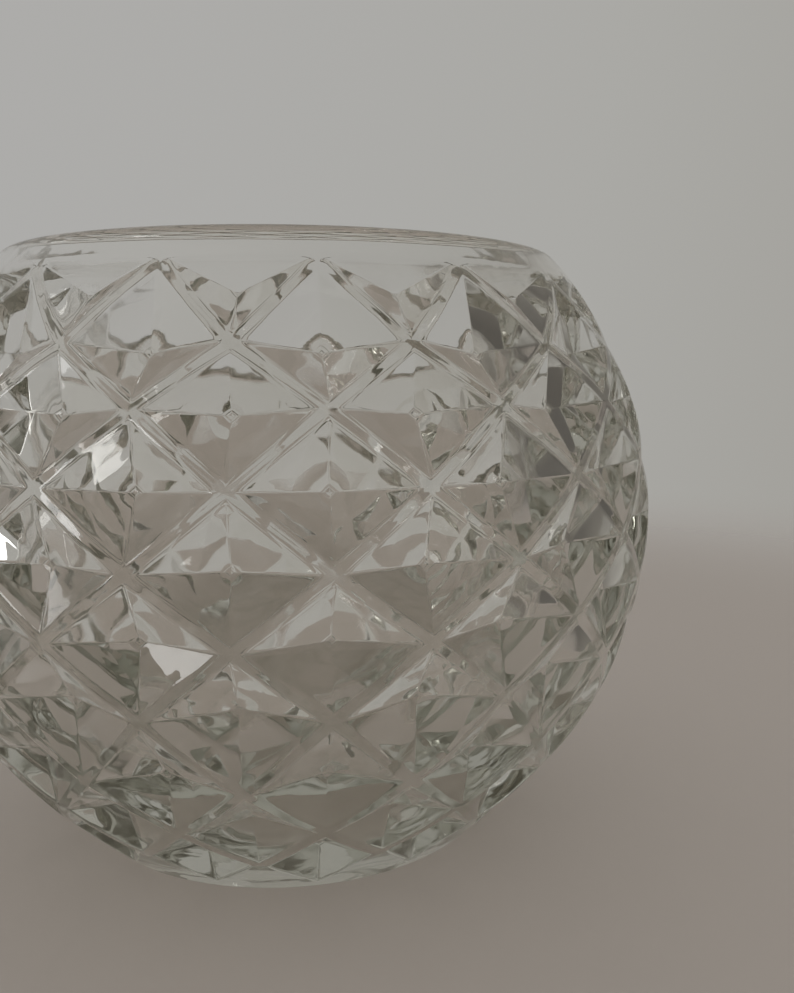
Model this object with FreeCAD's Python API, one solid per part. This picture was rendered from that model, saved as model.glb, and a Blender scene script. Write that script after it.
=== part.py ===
import FreeCAD, Part
import math
import os

# Rose bowl of clear pressed glass: one thick-walled piece, millimetres, +Z up.
# The origin is the middle of the flat base. Azimuth is measured from -Y towards +X.

# Turned blank, measured over the crests of the ribs
belly_radius = 76.5
belly_height = 64.5
skirt_height = 12.0
rim_height = 117.0
lip_round_radius = 2.5
base_edge_radius = 1.2

# Hollow inside, left smooth: a ball from the floor's edge to the lip
floor_thickness = 10.0
floor_edge_inset = 14.6
hollow_corner_radius = 9.0

# Diamond lattice of ribs with a sunk pocket in each diamond. A pocket has four sides, and each
# side is bent along its middle, so that its rib keeps nearly the same width from crossing to crossing.
column_count = 16
rib_width = 1.9
pocket_depth = 3.8
top_pocket_depth = 2.4
band_edge_drop = 5.6
band_flank_run = 4.2
cutter_overrun = 0.8

# Heights of the rows where ribs cross, from the plain band at the rim down to the base
rib_row_shares = [0.944, 0.843, 0.762, 0.664, 0.563, 0.466, 0.369, 0.253, 0.166, 0.084, 0.012]

column_step = 360.0 / column_count


def point(radius, azimuth, height):
    """Point at a distance from the axis, at an azimuth in degrees and at a height."""
    turn = math.radians(azimuth)
    return FreeCAD.Vector(radius * math.sin(turn), -radius * math.cos(turn), height)


def half_chord(radius, offset):
    """Radius of the circle that a level plane cuts from a ball, at an offset from its middle."""
    return math.sqrt(radius ** 2 - offset ** 2)


skirt_radius = half_chord(belly_radius, belly_height - skirt_height)
skirt_slope = (belly_height - skirt_height) / skirt_radius
base_radius = skirt_radius - skirt_slope * skirt_height

lip_height = rim_height - lip_round_radius
lip_radius = half_chord(belly_radius - lip_round_radius, lip_height - belly_height)


def hollow_ball():
    """Radius and height of the ball that passes the floor's edge and touches the lip's round."""
    edge = base_radius - floor_edge_inset
    rise = lip_height - floor_thickness
    spare = (lip_radius ** 2 + rise ** 2 - edge ** 2 - lip_round_radius ** 2) / 2
    lead = rise ** 2 - lip_round_radius ** 2
    rest = spare ** 2 - (lip_round_radius * edge) ** 2
    above_floor = (spare * rise - math.sqrt((spare * rise) ** 2 - lead * rest)) / lead
    return math.hypot(edge, above_floor), floor_thickness + above_floor


hollow_radius, hollow_height = hollow_ball()


def blank_radius(height):
    """Outer radius of the blank: a ball above the skirt line, a straight cone below it."""
    if height < skirt_height:
        return base_radius + skirt_slope * height
    return half_chord(belly_radius, height - belly_height)


def blank_normal(azimuth, height):
    """Outward direction, square to the blank's outer face."""
    level = max(height, skirt_height)
    return (point(blank_radius(level), azimuth, level) - FreeCAD.Vector(0, 0, belly_height)).normalize()


def on_blank(azimuth, height):
    """Point on the blank's outer face."""
    return point(blank_radius(height), azimuth, height)


def towards(start, target, distance):
    """Point at a distance from a start, on the straight line to a target."""
    return start + (target - start).normalize() * distance


def arc(start, middle, end):
    return Part.Arc(start, middle, end).toShape()


def line(start, end):
    return Part.LineSegment(start, end).toShape()


def corner_arc(before, corner, after, radius):
    """Ends and middle of the arc that rounds the corner of two straight runs."""
    bend = (before - corner).getAngle(after - corner)
    setback = radius / math.tan(bend / 2)
    start = towards(corner, before, setback)
    end = towards(corner, after, setback)
    centre = towards(corner, (start + end) * 0.5, radius / math.sin(bend / 2))
    return start, towards(centre, corner, radius), end


def blank():
    """Turned blank: ball, skirt, base, rounded lip and smooth hollow in one outline."""
    side = column_step
    ball_middle = point(0, side, belly_height)
    hollow_middle = point(0, side, hollow_height)
    lip_middle = point(lip_radius, side, lip_height)

    base_middle = point(0, side, 0)
    base_corner = point(base_radius, side, 0)
    skirt_top = point(skirt_radius, side, skirt_height)
    edge_start, edge_middle, edge_end = corner_arc(base_middle, base_corner, skirt_top, base_edge_radius)

    belly = point(belly_radius, side, belly_height)
    lip_outside = towards(ball_middle, lip_middle, belly_radius)
    lip_top = point(lip_radius, side, rim_height)
    lip_inside = towards(hollow_middle, lip_middle, hollow_radius)
    hollow_side = point(hollow_radius, side, hollow_height)

    round_height = floor_thickness + hollow_corner_radius
    round_reach = half_chord(hollow_radius - hollow_corner_radius, hollow_height - round_height)
    round_middle = point(round_reach, side, round_height)
    round_top = towards(hollow_middle, round_middle, hollow_radius)
    round_foot = point(round_reach, side, floor_thickness)
    round_between = towards(round_middle, (round_top + round_foot) * 0.5, hollow_corner_radius)
    floor_middle = point(0, side, floor_thickness)

    outline = Part.Wire([
        line(base_middle, edge_start),
        arc(edge_start, edge_middle, edge_end),
        line(edge_end, skirt_top),
        arc(skirt_top, belly, lip_outside),
        arc(lip_outside, lip_top, lip_inside),
        arc(lip_inside, hollow_side, round_top),
        arc(round_top, round_between, round_foot),
        line(round_foot, floor_middle),
        line(floor_middle, base_middle),
    ])
    return Part.Face(outline).revolve(FreeCAD.Vector(0, 0, 0), FreeCAD.Vector(0, 0, 1), 360)


def beside(place):
    """Point of the blank's outer face at the azimuth and height of a place next to it."""
    return on_blank(math.degrees(math.atan2(place.x, -place.y)), place.z)


def rib_foot(start, end, centre):
    """Foot of the rib between two crossings, halfway along it on the side of the pocket."""
    crest = beside((start + end) * 0.5)
    run = (end - start).normalize()
    inward = centre - crest
    inward = inward - run * inward.dot(run)
    return crest + inward.normalize() * (rib_width / 2)


def pocket_corner(crossing, first, second):
    """Corner of a pocket's edge, where the feet of two ribs that cross meet."""
    first_run = (first - crossing).normalize()
    inward = (first_run + (second - crossing).normalize()).normalize()
    return beside(crossing + inward * (rib_width / 2 / first_run.cross(inward).Length))


def pocket_cutter(apex, outward, depth, edge_points):
    """Pyramid that stands on its apex and whose ridges rise through the points of the pocket's edge."""
    corners = []
    for place in edge_points:
        spoke = place - apex
        corners.append(apex + spoke * ((depth + cutter_overrun) / spoke.dot(outward)))
    faces = [Part.Face(Part.makePolygon(corners + corners[:1]))]
    for place, corner in enumerate(corners):
        faces.append(Part.Face(Part.makePolygon([apex, corners[place - 1], corner, apex])))
    return Part.Solid(Part.Shell(faces))


def diamond_cutter(azimuth, top_row, middle_row, bottom_row):
    """Cutter for a whole diamond between four rib crossings."""
    top = on_blank(azimuth, rim_height * top_row)
    right = on_blank(azimuth + column_step / 2, rim_height * middle_row)
    bottom = on_blank(azimuth, rim_height * bottom_row)
    left = on_blank(azimuth - column_step / 2, rim_height * middle_row)
    outward = blank_normal(azimuth, rim_height * middle_row)
    centre = on_blank(azimuth, rim_height * middle_row)
    apex = centre - outward * pocket_depth
    edge_points = []
    for before, crossing, after in [
        (left, top, right),
        (top, right, bottom),
        (right, bottom, left),
        (bottom, left, top),
    ]:
        edge_points.append(pocket_corner(crossing, before, after))
        edge_points.append(rib_foot(crossing, after, centre))
    return pocket_cutter(apex, outward, pocket_depth, edge_points)


def band_cutter(azimuth, top_row, bottom_row):
    """Cutter for the half diamond that the plain band at the rim cuts short."""
    band_edge_height = rim_height - band_edge_drop
    apex_height = band_edge_height - band_flank_run
    right = on_blank(azimuth + column_step / 2, rim_height * top_row)
    bottom = on_blank(azimuth, rim_height * bottom_row)
    left = on_blank(azimuth - column_step / 2, rim_height * top_row)
    outward = blank_normal(azimuth, apex_height)
    centre = on_blank(azimuth, apex_height)
    apex = centre - outward * top_pocket_depth
    half_span = column_step / 2 - math.degrees(rib_width / 2 / blank_radius(band_edge_height))
    edge_points = [
        on_blank(azimuth + half_span, band_edge_height),
        rib_foot(right, bottom, centre),
        pocket_corner(bottom, right, left),
        rib_foot(bottom, left, centre),
        on_blank(azimuth - half_span, band_edge_height),
        on_blank(azimuth, band_edge_height),
    ]
    return pocket_cutter(apex, outward, top_pocket_depth, edge_points)


def lattice_cutters():
    """Cutters for every pocket, row by row, each row turned half a step from the last."""
    cutters = []
    for column in range(column_count):
        cutters.append(band_cutter(column * column_step, rib_row_shares[0], rib_row_shares[1]))
        for row in range(1, len(rib_row_shares) - 1):
            azimuth = (column + row % 2 / 2) * column_step
            cutters.append(diamond_cutter(azimuth, *rib_row_shares[row - 1:row + 2]))
    return cutters


os.makedirs("parts", exist_ok=True)
glass_bowl = blank().cut(lattice_cutters())
glass_bowl.exportStep("parts/glass_bowl.step")
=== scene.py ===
import math

import bmesh
import bpy
import mathutils
import numpy as np
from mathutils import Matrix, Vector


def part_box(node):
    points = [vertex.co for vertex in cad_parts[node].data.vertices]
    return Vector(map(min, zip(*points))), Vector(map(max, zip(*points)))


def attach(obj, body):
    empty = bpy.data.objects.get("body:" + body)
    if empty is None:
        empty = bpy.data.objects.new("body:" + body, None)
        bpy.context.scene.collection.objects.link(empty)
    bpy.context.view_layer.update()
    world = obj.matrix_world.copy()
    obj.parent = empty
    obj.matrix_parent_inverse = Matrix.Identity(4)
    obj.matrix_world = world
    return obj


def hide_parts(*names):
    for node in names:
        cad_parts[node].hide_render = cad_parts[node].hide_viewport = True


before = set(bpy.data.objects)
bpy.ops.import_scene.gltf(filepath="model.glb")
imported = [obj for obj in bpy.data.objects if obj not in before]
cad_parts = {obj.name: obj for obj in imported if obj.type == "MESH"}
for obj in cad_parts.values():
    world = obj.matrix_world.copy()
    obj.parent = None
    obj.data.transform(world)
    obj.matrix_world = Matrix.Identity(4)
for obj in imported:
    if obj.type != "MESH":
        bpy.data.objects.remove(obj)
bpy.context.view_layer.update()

# The turned outside of the bowl, in metres, measured over the crests of the ribs
BELLY_RADIUS = 0.0765
BELLY_HEIGHT = 0.0645
SKIRT_HEIGHT = 0.012
RIM_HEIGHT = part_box("glass_bowl")[1][2]
LIP_RADIUS = 0.0025
BASE_EDGE_RADIUS = 0.0012

# The smooth hollow
HOLLOW_RADIUS = 0.0675
FLOOR_THICKNESS = 0.010
FLOOR_CORNER_RADIUS = 0.009

# Diamond lattice: rib crossings as shares of the rim's height, from the plain band to the base
COLUMNS = 16
ROW_SHARES = [0.944, 0.843, 0.762, 0.664, 0.563, 0.466, 0.369, 0.253, 0.166, 0.084, 0.012]
RIB_WIDTH = 0.0021
POCKET_DEPTH = 0.0038
TOP_POCKET_DEPTH = 0.0024
BAND_EDGE_DROP = 0.0056
BAND_FLANK_RUN = 0.0042
BAND_RING_DROP = 0.0044

# How softly the mould's edges come out: the blend where a rib turns into a pocket, the same where the
# pockets run out into the plain band, the blend where two facets meet, and the mesh lines beside an edge
RIB_BLEND = 0.00026
BAND_BLEND = 0.00064
FACET_BLEND = 0.00012
EDGE_OFFSETS = [0.00016, 0.00036, 0.00066]

# Length and height of each wave in the uneven surface, which fades towards the flat base and the rim.
# Each wave runs in a few directions, turned from wave to wave and from direction to direction.
WAVES = [(0.031, 0.00006), (0.017, 0.00004), (0.0092, 0.000028)]
WAVE_START = 0.006
WAVE_END = 0.009
WAVE_DIRECTIONS = 3
WAVE_TURN = 1.7
DIRECTION_TURN = 2.4
LIFT_TURN = 2.1
LIFT_START = 0.6
PHASE_TURN = 3.1

STEP = 2 * math.pi / COLUMNS
MIDDLE = np.array([0.0, 0.0, BELLY_HEIGHT])

# Where the mesh lines lie: along a rib, closer together towards its crossings, and from a rib to the apex
HALF_SPREAD = [0.0, 0.028, 0.075, 0.17, 0.32]
ALONG = np.array(HALF_SPREAD + [0.5] + [1 - share for share in reversed(HALF_SPREAD)])
CORNER_SHARE = HALF_SPREAD[2]
ACROSS_RIB = [0.0, 0.5]
ACROSS_POCKET = [0.14, 0.36, 0.62, 0.86, 1.0]

# Search for a pocket's edge: between which shares of the way from the apex to the line of two corners it
# lies, and how often the span between them is halved
MOUTH_SEARCH = (0.3, 1.9)
HALVINGS = 44

# Mesh points along the turned runs from the plain band to the floor's middle, and below the lattice
BAND_POINTS = 3
LIP_POINTS = 14
HOLLOW_POINTS = 56
FLOOR_CORNER_POINTS = 8
FLOOR_POINTS = 10
SKIRT_DIVISIONS = 8
BASE_EDGE_POINTS = 5
BASE_POINTS = 8

# Joining the grids into one closed mesh, and the weight of large faces in its shading, where 50 is neutral
WELD_DISTANCE = 2e-6
SLIVER_LENGTH = 1e-7
FACE_WEIGHT = 50

# Clear glass: its tone and polish, the ripple of its skin, the grey-green of its depth and of its shadow
GLASS_TONE = (0.985, 0.976, 0.955, 1.0)
GLASS_IOR = 1.51
POLISH_SCALE = 55.0
POLISH_DETAIL = 3.0
POLISH_RANGE = (0.35, 0.75)
ROUGHNESS_RANGE = (0.015, 0.06)
RIPPLE_SCALE = 110.0
RIPPLE_DETAIL = 2.0
RIPPLE_STRENGTH = 0.3
RIPPLE_DEPTH = 0.0004
DEPTH_TONE = (0.60, 0.61, 0.53, 1.0)
DEPTH_DENSITY = 10.0
SHADOW_TONE = (0.99, 0.985, 0.975, 1.0)


def unit(vectors):
    """The vectors at a length of one."""
    return vectors / np.linalg.norm(vectors, axis=-1, keepdims=True)


def half_chord(radius, offset):
    """Radius of the circle that a level plane cuts from a ball, at an offset from its middle."""
    return math.sqrt(radius**2 - offset**2)


SKIRT_RADIUS = half_chord(BELLY_RADIUS, BELLY_HEIGHT - SKIRT_HEIGHT)
SKIRT_SLOPE = (BELLY_HEIGHT - SKIRT_HEIGHT) / SKIRT_RADIUS
SKIRT_TILT = math.asin((SKIRT_HEIGHT - BELLY_HEIGHT) / BELLY_RADIUS)
BASE_RADIUS = SKIRT_RADIUS - SKIRT_SLOPE * SKIRT_HEIGHT


def on_blank(azimuth, height):
    """Point on the turned outside, from the belly's middle. Azimuth 0 faces -Y and grows towards +X."""
    if height < SKIRT_HEIGHT:
        radius = BASE_RADIUS + SKIRT_SLOPE * height
    else:
        radius = half_chord(BELLY_RADIUS, height - BELLY_HEIGHT)
    return np.array([radius * math.sin(azimuth), -radius * math.cos(azimuth), height - BELLY_HEIGHT])


def blank_reach(rays):
    """Distance from the belly's middle to the turned outside, along unit rays."""
    tilt = np.arctan2(rays[..., 2], np.hypot(rays[..., 0], rays[..., 1]))
    return BELLY_RADIUS / np.cos(np.clip(SKIRT_TILT - tilt, 0, None))


def facet_reach(rays, apex, facet):
    """Distance from the belly's middle to a facet, a very flat cone about the apex, along unit rays."""
    axis, lean = facet
    along = rays @ axis
    start = apex @ axis
    aside = rays @ apex
    square = along**2 - lean**2
    middle = along * start - lean**2 * aside
    rest = start**2 - lean**2 * (apex @ apex)
    return (middle + np.sign(lean) * np.sqrt(np.clip(middle**2 - square * rest, 0, None))) / square


def edge_blend(heights):
    """Blend at the pockets' edges: it grows softer where they run out into the plain band."""
    crossing_height = RIM_HEIGHT * ROW_SHARES[0]
    rise = np.clip((heights - crossing_height) / (RIM_HEIGHT - BAND_EDGE_DROP - crossing_height), 0, 1)
    return RIB_BLEND + (BAND_BLEND - RIB_BLEND) * rise


def glass_reach(rays, apex, facets):
    """Distance to the moulded surface in one cell, with its rib edges and creases softened."""
    depths = np.sort(np.stack([facet_reach(rays, apex, facet) for facet in facets]), axis=0)
    gap = np.clip(FACET_BLEND - (depths[-1] - depths[-2]), 0, None) / FACET_BLEND
    pocket = depths[-1] + gap**2 * FACET_BLEND / 4
    crest = blank_reach(rays)
    blend = edge_blend(crest * rays[..., 2] + BELLY_HEIGHT)
    gap = np.clip(blend - np.abs(crest - pocket), 0, None) / blend
    return np.minimum(crest, pocket) - gap**2 * blend / 4


def beside(place):
    """Point of the turned outside at the azimuth and height of a place next to it."""
    return on_blank(math.atan2(place[0], -place[1]), place[2] + BELLY_HEIGHT)


def facet_cone(apex, edge_points):
    """Outward axis of the flat cone from an apex through three points of a pocket's edge, and its lean."""
    axis = np.linalg.solve(unit(np.stack(edge_points) - apex), np.ones(3))
    size = np.linalg.norm(axis) * np.sign(axis @ apex)
    return axis / size, 1 / size


def rib_foot(start, end, centre):
    """Foot of the rib between two crossings, halfway along it on the pocket's side."""
    crest = beside((start + end) / 2)
    run = unit(end - start)
    inward = centre - crest
    inward = unit(inward - run * (inward @ run))
    return crest + inward * RIB_WIDTH / 2


def pocket_corner(crossing, first, second):
    """Corner of a pocket's edge, where the feet of two ribs that cross meet."""
    first_run = unit(first - crossing)
    second_run = unit(second - crossing)
    inward = unit(first_run + second_run)
    return beside(crossing + inward * RIB_WIDTH / 2 / np.linalg.norm(np.cross(first_run, inward)))


def bisect(low, high, is_low):
    """Narrows arrays of shares to the places where is_low turns false."""
    for _ in range(HALVINGS):
        half = (low + high) / 2
        below = is_low(half)
        low = np.where(below, half, low)
        high = np.where(below, high, half)
    return (low + high) / 2


def facet_grid(apex, facets, number, corners, crest):
    """Mesh lines of one facet and its half of the rib, from the crest to the apex."""
    facet = facets[number]
    before = unit(corners[number])
    after = unit(corners[(number + 1) % len(corners)])
    centre = unit(apex)
    spread = unit(before + (after - before) * ALONG[:, None])

    def outward(share):
        """Rays at a share of the way from the apex to the line of the facet's two corners."""
        return unit(centre + (spread - centre) * share[:, None])

    def sunk(share):
        """Whether the facet still lies below the turned outside there."""
        rays = outward(share)
        return facet_reach(rays, apex, facet) < blank_reach(rays)

    nearest, farthest = (np.full(len(ALONG), share) for share in MOUTH_SEARCH)
    mouth = outward(bisect(nearest, farthest, sunk))
    rib_run = np.linalg.norm(crest - mouth, axis=1)[:, None] * BELLY_RADIUS
    pocket_run = np.linalg.norm(centre - mouth, axis=1)[:, None] * BELLY_RADIUS
    lines = [crest + (mouth - crest) * share * (1 - EDGE_OFFSETS[-1] / rib_run) for share in ACROSS_RIB]
    lines += [mouth + (crest - mouth) * offset / rib_run for offset in reversed(EDGE_OFFSETS)]
    lines += [mouth]
    lines += [mouth + (centre - mouth) * offset / pocket_run for offset in EDGE_OFFSETS]
    lines += [mouth + (centre - mouth) * share for share in ACROSS_POCKET]
    rays = unit(np.stack(lines, axis=1))
    return rays * glass_reach(rays, apex, facets)[..., None] + MIDDLE


def rib_crest(start, end):
    """Rays along the crest of a rib, from one crossing to the next."""
    return unit(unit(start) + (unit(end) - unit(start)) * ALONG[:, None])


def diamond(azimuth, top_share, middle_share, bottom_share):
    """Grids of one whole pocket and the halves of the four ribs round it."""
    top = on_blank(azimuth, RIM_HEIGHT * top_share)
    right = on_blank(azimuth + STEP / 2, RIM_HEIGHT * middle_share)
    bottom = on_blank(azimuth, RIM_HEIGHT * bottom_share)
    left = on_blank(azimuth - STEP / 2, RIM_HEIGHT * middle_share)
    centre = on_blank(azimuth, RIM_HEIGHT * middle_share)
    level = max(RIM_HEIGHT * middle_share, SKIRT_HEIGHT)
    apex = centre - unit(on_blank(azimuth, level)) * POCKET_DEPTH
    crossings = [top, right, bottom, left]
    ring = list(zip(crossings[-1:] + crossings[:-1], crossings, crossings[1:] + crossings[:1]))
    corners = [pocket_corner(crossing, before, after) for before, crossing, after in ring]
    facets, grids = [], []
    for number, (_, start, end) in enumerate(ring):
        edge_points = (corners[number], rib_foot(start, end, centre), corners[(number + 1) % len(corners)])
        facets.append(facet_cone(apex, edge_points))
    for number, (_, start, end) in enumerate(ring):
        grids.append(facet_grid(apex, facets, number, corners, rib_crest(start, end)))
    return grids


def band_ray(azimuth):
    """Ray to the ring where the lattice's mesh ends and the plain band's begins."""
    return unit(on_blank(azimuth, RIM_HEIGHT - BAND_RING_DROP))


def band_crest(azimuth, right, left):
    """Rays from the right crossing up to the band's ring, along it and down to the left crossing."""
    rays = []
    for share in ALONG:
        if share < CORNER_SHARE:
            start = unit(right)
            rays.append(start + (band_ray(azimuth + STEP / 2) - start) * share / CORNER_SHARE)
        elif share > 1 - CORNER_SHARE:
            start = unit(left)
            rays.append(start + (band_ray(azimuth - STEP / 2) - start) * (1 - share) / CORNER_SHARE)
        else:
            along_ring = (share - CORNER_SHARE) / (1 - 2 * CORNER_SHARE)
            rays.append(band_ray(azimuth + STEP * (0.5 - along_ring)))
    return unit(np.array(rays))


def half_diamond(azimuth, top_share, bottom_share):
    """Grids of the pocket that the plain band cuts short."""
    edge_height = RIM_HEIGHT - BAND_EDGE_DROP
    right = on_blank(azimuth + STEP / 2, RIM_HEIGHT * top_share)
    bottom = on_blank(azimuth, RIM_HEIGHT * bottom_share)
    left = on_blank(azimuth - STEP / 2, RIM_HEIGHT * top_share)
    centre = on_blank(azimuth, edge_height - BAND_FLANK_RUN)
    apex = centre - unit(centre) * TOP_POCKET_DEPTH
    half_span = STEP / 2 - RIB_WIDTH / 2 / half_chord(BELLY_RADIUS, edge_height - BELLY_HEIGHT)
    corners = [
        on_blank(azimuth + half_span, edge_height),
        pocket_corner(bottom, right, left),
        on_blank(azimuth - half_span, edge_height),
    ]
    edges = [rib_foot(right, bottom, centre), rib_foot(bottom, left, centre), on_blank(azimuth, edge_height)]
    facets = []
    for number, edge in enumerate(edges):
        facets.append(facet_cone(apex, (corners[number], edge, corners[(number + 1) % len(corners)])))
    crests = [rib_crest(right, bottom), rib_crest(bottom, left), band_crest(azimuth, right, left)[::-1]]
    return [facet_grid(apex, facets, number, corners, crest) for number, crest in enumerate(crests)]


def turned_grid(azimuths, outline):
    """Grid of a turned surface from its outline of (radius, height) points."""
    outline = np.array(outline)
    turns = np.array(azimuths)[:, None]
    heights = np.broadcast_to(outline[:, 1], (len(azimuths), len(outline)))
    return np.stack([outline[:, 0] * np.sin(turns), -outline[:, 0] * np.cos(turns), heights], axis=-1)


def round_run(centre, radius, start, end, count):
    """Points of an arc in the outline, between two angles above the outward level."""
    angles = np.linspace(start, end, count)
    return [(centre[0] + radius * math.cos(a), centre[1] + radius * math.sin(a)) for a in angles]


def lip_and_hollow():
    """Grid of one column from the plain band over the lip and down the hollow to the floor's middle."""
    lip_height = RIM_HEIGHT - LIP_RADIUS
    lip_reach = half_chord(BELLY_RADIUS - LIP_RADIUS, lip_height - BELLY_HEIGHT)
    hollow_height = lip_height - half_chord(HOLLOW_RADIUS + LIP_RADIUS, lip_reach)
    ring_tilt = math.asin((RIM_HEIGHT - BAND_RING_DROP - BELLY_HEIGHT) / BELLY_RADIUS)
    lip_tilt = math.atan2(lip_height - BELLY_HEIGHT, lip_reach)
    inner_tilt = math.atan2(lip_height - hollow_height, lip_reach)
    round_height = FLOOR_THICKNESS + FLOOR_CORNER_RADIUS
    round_reach = half_chord(HOLLOW_RADIUS - FLOOR_CORNER_RADIUS, hollow_height - round_height)
    round_tilt = math.atan2(round_height - hollow_height, round_reach)
    outline = round_run((0, BELLY_HEIGHT), BELLY_RADIUS, ring_tilt, lip_tilt, BAND_POINTS)
    lip = (lip_reach, lip_height)
    outline += round_run(lip, LIP_RADIUS, lip_tilt, math.pi + inner_tilt, LIP_POINTS)[1:]
    outline += round_run((0, hollow_height), HOLLOW_RADIUS, inner_tilt, round_tilt, HOLLOW_POINTS)[1:]
    corner = (round_reach, round_height)
    outline += round_run(corner, FLOOR_CORNER_RADIUS, round_tilt, -math.pi / 2, FLOOR_CORNER_POINTS)[1:]
    outline += [(round_reach * share, FLOOR_THICKNESS) for share in np.linspace(1, 0, FLOOR_POINTS)[1:]]
    ring_shares = ALONG[(ALONG >= CORNER_SHARE) & (ALONG <= 1 - CORNER_SHARE)]
    along_ring = (ring_shares - CORNER_SHARE) / (1 - 2 * CORNER_SHARE)
    return turned_grid(STEP * (along_ring - 0.5), outline)


def plain_skirt():
    """Grids of one column below the lowest crossings: a plain triangle, the base's edge and the base."""
    crossing = on_blank(0, RIM_HEIGHT * ROW_SHARES[-2])
    foot = on_blank(STEP / 2, RIM_HEIGHT * ROW_SHARES[-1])
    side = rib_crest(crossing, foot)
    turns = np.arctan2(side[:, 0], -side[:, 1])
    tilts = np.arcsin(side[:, 2])
    rows = []
    for turn, tilt in zip(turns, tilts):
        across = np.linspace(-turn, turn, SKIRT_DIVISIONS + 1)
        level = np.full(len(across), math.cos(tilt))
        lift = np.full(len(across), math.sin(tilt))
        ray = np.stack([level * np.sin(across), -level * np.cos(across), lift], -1)
        rows.append(ray * blank_reach(ray)[:, None] + MIDDLE)
    lean = math.atan(SKIRT_SLOPE)
    ring = rows[-1]
    ring_height = ring[0, 2]
    ring_reach = math.hypot(*ring[0, :2])
    edge_turn = math.pi / 2 - lean
    setback = BASE_EDGE_RADIUS * math.tan(edge_turn / 2)
    middle = (BASE_RADIUS - setback, BASE_EDGE_RADIUS)
    outline = [(ring_reach, ring_height)]
    outline += round_run(middle, BASE_EDGE_RADIUS, -lean, -math.pi / 2, BASE_EDGE_POINTS)
    outline += [(middle[0] * share, 0.0) for share in np.linspace(1, 0, BASE_POINTS)[1:]]
    return [np.stack(rows), turned_grid(np.linspace(-STEP / 2, STEP / 2, SKIRT_DIVISIONS + 1), outline)]


def column_grids():
    """Grids of one column of the lattice, with what lies above and below it."""
    grids = half_diamond(0, ROW_SHARES[0], ROW_SHARES[1])
    for row in range(1, len(ROW_SHARES) - 1):
        grids += diamond(row % 2 * STEP / 2, *ROW_SHARES[row - 1 : row + 2])
    return grids + [lip_and_hollow()] + plain_skirt()


def waves(points):
    """Points moved by the faint unevenness of pressed glass: waves that cross, the shortest only outside."""
    reach = np.linalg.norm(points - MIDDLE, axis=1)
    outside = np.clip((reach - HOLLOW_RADIUS - LIP_RADIUS) / LIP_RADIUS, 0, 1)
    amount = np.zeros(len(points))
    for number, (length, height) in enumerate(WAVES):
        if length == WAVES[-1][0]:
            height = height * outside
        for turn in range(WAVE_DIRECTIONS):
            angle = WAVE_TURN * number + DIRECTION_TURN * turn
            along = np.array([math.cos(angle), math.sin(angle), math.sin(LIFT_TURN * angle + LIFT_START)])
            amount += height * np.sin(points @ unit(along) * 2 * math.pi / length + PHASE_TURN * angle)
    amount *= np.clip((points[:, 2] - BASE_EDGE_RADIUS) / WAVE_START, 0, 1)
    amount *= np.clip((RIM_HEIGHT - points[:, 2]) / WAVE_END, 0, 1)
    return points + unit(points - MIDDLE) * amount[:, None]


def glass_mesh():
    """The whole bowl as one closed mesh."""
    points, faces = [], []
    count = 0
    grids = column_grids()
    for column in range(COLUMNS):
        turn = column * STEP
        cos, sin = math.cos(turn), math.sin(turn)
        spin = np.array([[cos, -sin, 0], [sin, cos, 0], [0, 0, 1]])
        for grid in grids:
            rows, places = grid.shape[:2]
            points.append(grid.reshape(-1, 3) @ spin.T)
            number = np.arange(rows * places).reshape(rows, places) + count
            squares = [number[:-1, :-1], number[1:, :-1], number[1:, 1:], number[:-1, 1:]]
            faces.append(np.stack(squares, axis=-1).reshape(-1, len(squares)))
            count += rows * places
    mesh = bpy.data.meshes.new("glass_bowl_body")
    mesh.from_pydata(waves(np.concatenate(points)).tolist(), [], np.concatenate(faces).tolist())
    work = bmesh.new()
    work.from_mesh(mesh)
    bmesh.ops.remove_doubles(work, verts=work.verts, dist=WELD_DISTANCE)
    bmesh.ops.dissolve_degenerate(work, edges=work.edges, dist=SLIVER_LENGTH)
    bmesh.ops.recalc_face_normals(work, faces=work.faces)
    open_edges = sum(1 for edge in work.edges if not edge.is_manifold)
    print("glass mesh:", len(work.verts), "vertices,", len(work.faces), "faces,", open_edges, "open edges")
    work.to_mesh(mesh)
    work.free()
    return mesh


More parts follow.
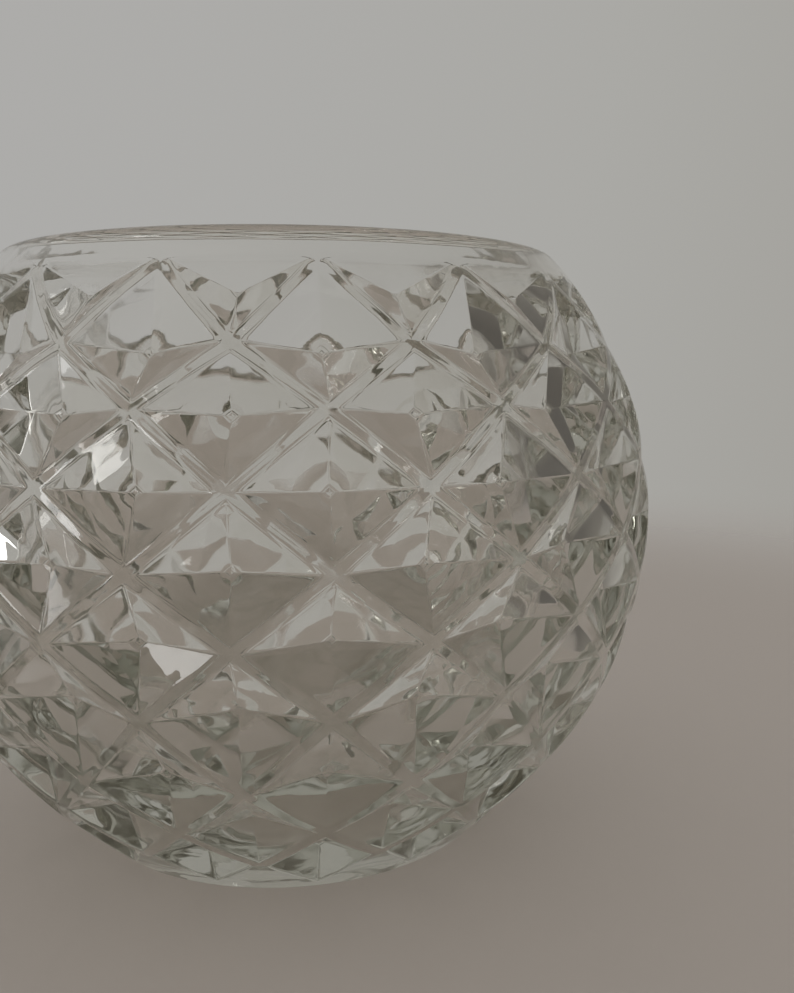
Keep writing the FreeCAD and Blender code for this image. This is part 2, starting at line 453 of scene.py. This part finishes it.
def glass_material():
    """Clear pressed glass: faintly uneven polish, a trace of grey-green in its depth."""
    material = bpy.data.materials.new("clear_pressed_glass")
    material.use_nodes = True
    nodes, links = material.node_tree.nodes, material.node_tree.links
    shader = nodes["Principled BSDF"]
    shader.inputs["Base Color"].default_value = GLASS_TONE
    shader.inputs["Transmission Weight"].default_value = 1.0
    shader.inputs["IOR"].default_value = GLASS_IOR

    place = nodes.new("ShaderNodeTexCoord")
    polish = nodes.new("ShaderNodeTexNoise")
    polish.inputs["Scale"].default_value = POLISH_SCALE
    polish.inputs["Detail"].default_value = POLISH_DETAIL
    links.new(place.outputs["Object"], polish.inputs["Vector"])
    dullness = nodes.new("ShaderNodeMapRange")
    dullness.inputs["From Min"].default_value, dullness.inputs["From Max"].default_value = POLISH_RANGE
    dullness.inputs["To Min"].default_value, dullness.inputs["To Max"].default_value = ROUGHNESS_RANGE
    links.new(polish.outputs["Fac"], dullness.inputs["Value"])
    links.new(dullness.outputs["Result"], shader.inputs["Roughness"])

    ripple = nodes.new("ShaderNodeTexNoise")
    ripple.inputs["Scale"].default_value = RIPPLE_SCALE
    ripple.inputs["Detail"].default_value = RIPPLE_DETAIL
    links.new(place.outputs["Object"], ripple.inputs["Vector"])
    relief = nodes.new("ShaderNodeBump")
    relief.inputs["Strength"].default_value = RIPPLE_STRENGTH
    relief.inputs["Distance"].default_value = RIPPLE_DEPTH
    links.new(ripple.outputs["Fac"], relief.inputs["Height"])
    links.new(relief.outputs["Normal"], shader.inputs["Normal"])

    depth = nodes.new("ShaderNodeVolumeAbsorption")
    depth.inputs["Color"].default_value = DEPTH_TONE
    depth.inputs["Density"].default_value = DEPTH_DENSITY
    links.new(depth.outputs["Volume"], nodes["Material Output"].inputs["Volume"])

    path = nodes.new("ShaderNodeLightPath")
    clear = nodes.new("ShaderNodeBsdfTransparent")
    clear.inputs["Color"].default_value = SHADOW_TONE
    through = nodes.new("ShaderNodeMixShader")
    links.new(path.outputs["Is Shadow Ray"], through.inputs["Fac"])
    links.new(shader.outputs["BSDF"], through.inputs[1])
    links.new(clear.outputs["BSDF"], through.inputs[2])
    links.new(through.outputs["Shader"], nodes["Material Output"].inputs["Surface"])
    return material


bowl = bpy.data.objects.new("glass_bowl_body", glass_mesh())
bpy.context.collection.objects.link(bowl)
for polygon in bowl.data.polygons:
    polygon.use_smooth = True
even = bowl.modifiers.new("even_facets", "WEIGHTED_NORMAL")
even.mode = "FACE_AREA"
even.weight = FACE_WEIGHT
bowl.data.materials.append(glass_material())
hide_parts("glass_bowl")
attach(bowl, "root")


# Surroundings: a plain floor that fades into a room, pale behind the bowl and darker in front of it
FLOOR_REACH = 0.9
FLOOR_SEGMENTS = 96
FLOOR_ROUGHNESS = 0.75
FLOOR_GAP = 0.0001
FLOOR_TONE = (0.285, 0.25, 0.219, 1.0)
FADE_START = 0.17
FADE_END = 0.60
ROOM_LIGHT = 1.0
BEFORE_FIRST_BOUNCE = 0.5
PALE_SIDE = (-0.65, 0.70, 0.30)
ROOM_TONES = [
    (0.0, (0.085, 0.078, 0.07, 1.0)),
    (0.36, (0.095, 0.088, 0.078, 1.0)),
    (0.52, (0.15, 0.14, 0.122, 1.0)),
    (0.66, (0.365, 0.355, 0.33, 1.0)),
    (0.8, (0.40, 0.395, 0.375, 1.0)),
    (1.0, (0.42, 0.415, 0.405, 1.0)),
]


def floor_material():
    """Plain matt floor that fades out with its distance from the bowl."""
    material = bpy.data.materials.new("floor_paint")
    material.use_nodes = True
    nodes, links = material.node_tree.nodes, material.node_tree.links
    shader = nodes["Principled BSDF"]
    shader.inputs["Base Color"].default_value = FLOOR_TONE
    shader.inputs["Roughness"].default_value = FLOOR_ROUGHNESS
    place = nodes.new("ShaderNodeTexCoord")
    reach = nodes.new("ShaderNodeVectorMath")
    reach.operation = "LENGTH"
    links.new(place.outputs["Object"], reach.inputs[0])
    fade = nodes.new("ShaderNodeMapRange")
    fade.interpolation_type = "SMOOTHERSTEP"
    fade.inputs["From Min"].default_value = FADE_START
    fade.inputs["From Max"].default_value = FADE_END
    fade.inputs["To Min"].default_value = 1.0
    fade.inputs["To Max"].default_value = 0.0
    links.new(reach.outputs["Value"], fade.inputs["Value"])
    links.new(fade.outputs["Result"], shader.inputs["Alpha"])
    return material


def floor():
    """Round floor just below the base."""
    work = bmesh.new()
    bmesh.ops.create_circle(work, cap_ends=True, radius=FLOOR_REACH, segments=FLOOR_SEGMENTS)
    mesh = bpy.data.meshes.new("floor")
    work.to_mesh(mesh)
    work.free()
    plane = bpy.data.objects.new("floor", mesh)
    plane.location.z = -FLOOR_GAP
    bpy.context.collection.objects.link(plane)
    plane.data.materials.append(floor_material())


def room():
    """World that lights the floor evenly and shows in the glass a room that is pale to one side."""
    world = bpy.data.worlds.new("room")
    bpy.context.scene.world = world
    world.use_nodes = True
    nodes, links = world.node_tree.nodes, world.node_tree.links
    background = nodes["Background"]
    place = nodes.new("ShaderNodeTexCoord")
    toward = nodes.new("ShaderNodeVectorMath")
    toward.operation = "DOT_PRODUCT"
    toward.inputs[1].default_value = PALE_SIDE
    links.new(place.outputs["Generated"], toward.inputs[0])
    spread = nodes.new("ShaderNodeMapRange")
    spread.inputs["From Min"].default_value = -1.0
    links.new(toward.outputs["Value"], spread.inputs["Value"])
    ramp = nodes.new("ShaderNodeValToRGB")
    stops = ramp.color_ramp.elements
    stops[1].position, stops[1].color = ROOM_TONES[-1]
    stops[0].position, stops[0].color = ROOM_TONES[0]
    for position, tone in ROOM_TONES[1:-1]:
        stops.new(position).color = tone
    links.new(spread.outputs["Result"], ramp.inputs["Fac"])

    path = nodes.new("ShaderNodeLightPath")
    shown = nodes.new("ShaderNodeMath")
    shown.operation = "MAXIMUM"
    links.new(path.outputs["Is Camera Ray"], shown.inputs[0])
    links.new(path.outputs["Is Glossy Ray"], shown.inputs[1])
    seen = nodes.new("ShaderNodeMath")
    seen.operation = "MAXIMUM"
    links.new(shown.outputs["Value"], seen.inputs[0])
    links.new(path.outputs["Is Transmission Ray"], seen.inputs[1])
    unlit = nodes.new("ShaderNodeMath")
    unlit.operation = "LESS_THAN"
    unlit.inputs[1].default_value = BEFORE_FIRST_BOUNCE
    links.new(path.outputs["Diffuse Depth"], unlit.inputs[0])
    plain = nodes.new("ShaderNodeMath")
    plain.operation = "MULTIPLY"
    links.new(seen.outputs["Value"], plain.inputs[0])
    links.new(unlit.outputs["Value"], plain.inputs[1])
    mix = nodes.new("ShaderNodeMix")
    mix.data_type = "RGBA"
    mix.inputs["A"].default_value = (ROOM_LIGHT, ROOM_LIGHT, ROOM_LIGHT, 1.0)
    links.new(plain.outputs["Value"], mix.inputs["Factor"])
    links.new(ramp.outputs["Color"], mix.inputs["B"])
    links.new(mix.outputs["Result"], background.inputs["Color"])


# Name, place, size and power of each lamp, and the place in the bowl that they aim at
LAMPS = [
    ("window", (-0.72, -0.62, 0.16), (0.15, 0.26), 0.75),
    ("side_window", (-1.0, 0.02, 0.16), (0.15, 0.22), 0.25),
]
LAMP_AIM = (0, 0, 0.06)


def soft_light(name, place, size, power):
    """Rectangular lamp that faces the bowl."""
    light = bpy.data.lights.new(name, "AREA")
    light.shape = "RECTANGLE"
    light.size, light.size_y = size
    light.energy = power
    lamp = bpy.data.objects.new(name, light)
    lamp.location = place
    aimed = mathutils.Vector(LAMP_AIM) - mathutils.Vector(place)
    lamp.rotation_euler = aimed.to_track_quat("-Z", "Y").to_euler()
    bpy.context.collection.objects.link(lamp)


# The camera as the photograph was taken, close to the bowl and a little above its rim
CAMERA_PLACE = (0.02398, -0.20325, 0.09516)
CAMERA_TILT = math.radians(90 - 8.031)
CAMERA_ROLL = math.radians(0.149)
CAMERA_TURN = math.radians(0.055)
CAMERA_LENS = 33.66
CAMERA_CLIP = 0.01

# Bounces that light needs through two walls of cut glass
ALL_BOUNCES = 32
GLOSSY_BOUNCES = 24


def camera():
    """Camera at the photograph's place."""
    lens = bpy.data.cameras.new("camera")
    lens.lens = CAMERA_LENS
    lens.clip_start = CAMERA_CLIP
    viewer = bpy.data.objects.new("camera", lens)
    viewer.location = CAMERA_PLACE
    viewer.rotation_euler = (CAMERA_TILT, CAMERA_ROLL, CAMERA_TURN)
    bpy.context.collection.objects.link(viewer)
    bpy.context.scene.camera = viewer


floor()
room()
for lamp_values in LAMPS:
    soft_light(*lamp_values)
camera()
bpy.context.scene.view_settings.view_transform = "Standard"
bpy.context.scene.cycles.max_bounces = ALL_BOUNCES
bpy.context.scene.cycles.glossy_bounces = GLOSSY_BOUNCES
bpy.context.scene.cycles.transmission_bounces = ALL_BOUNCES
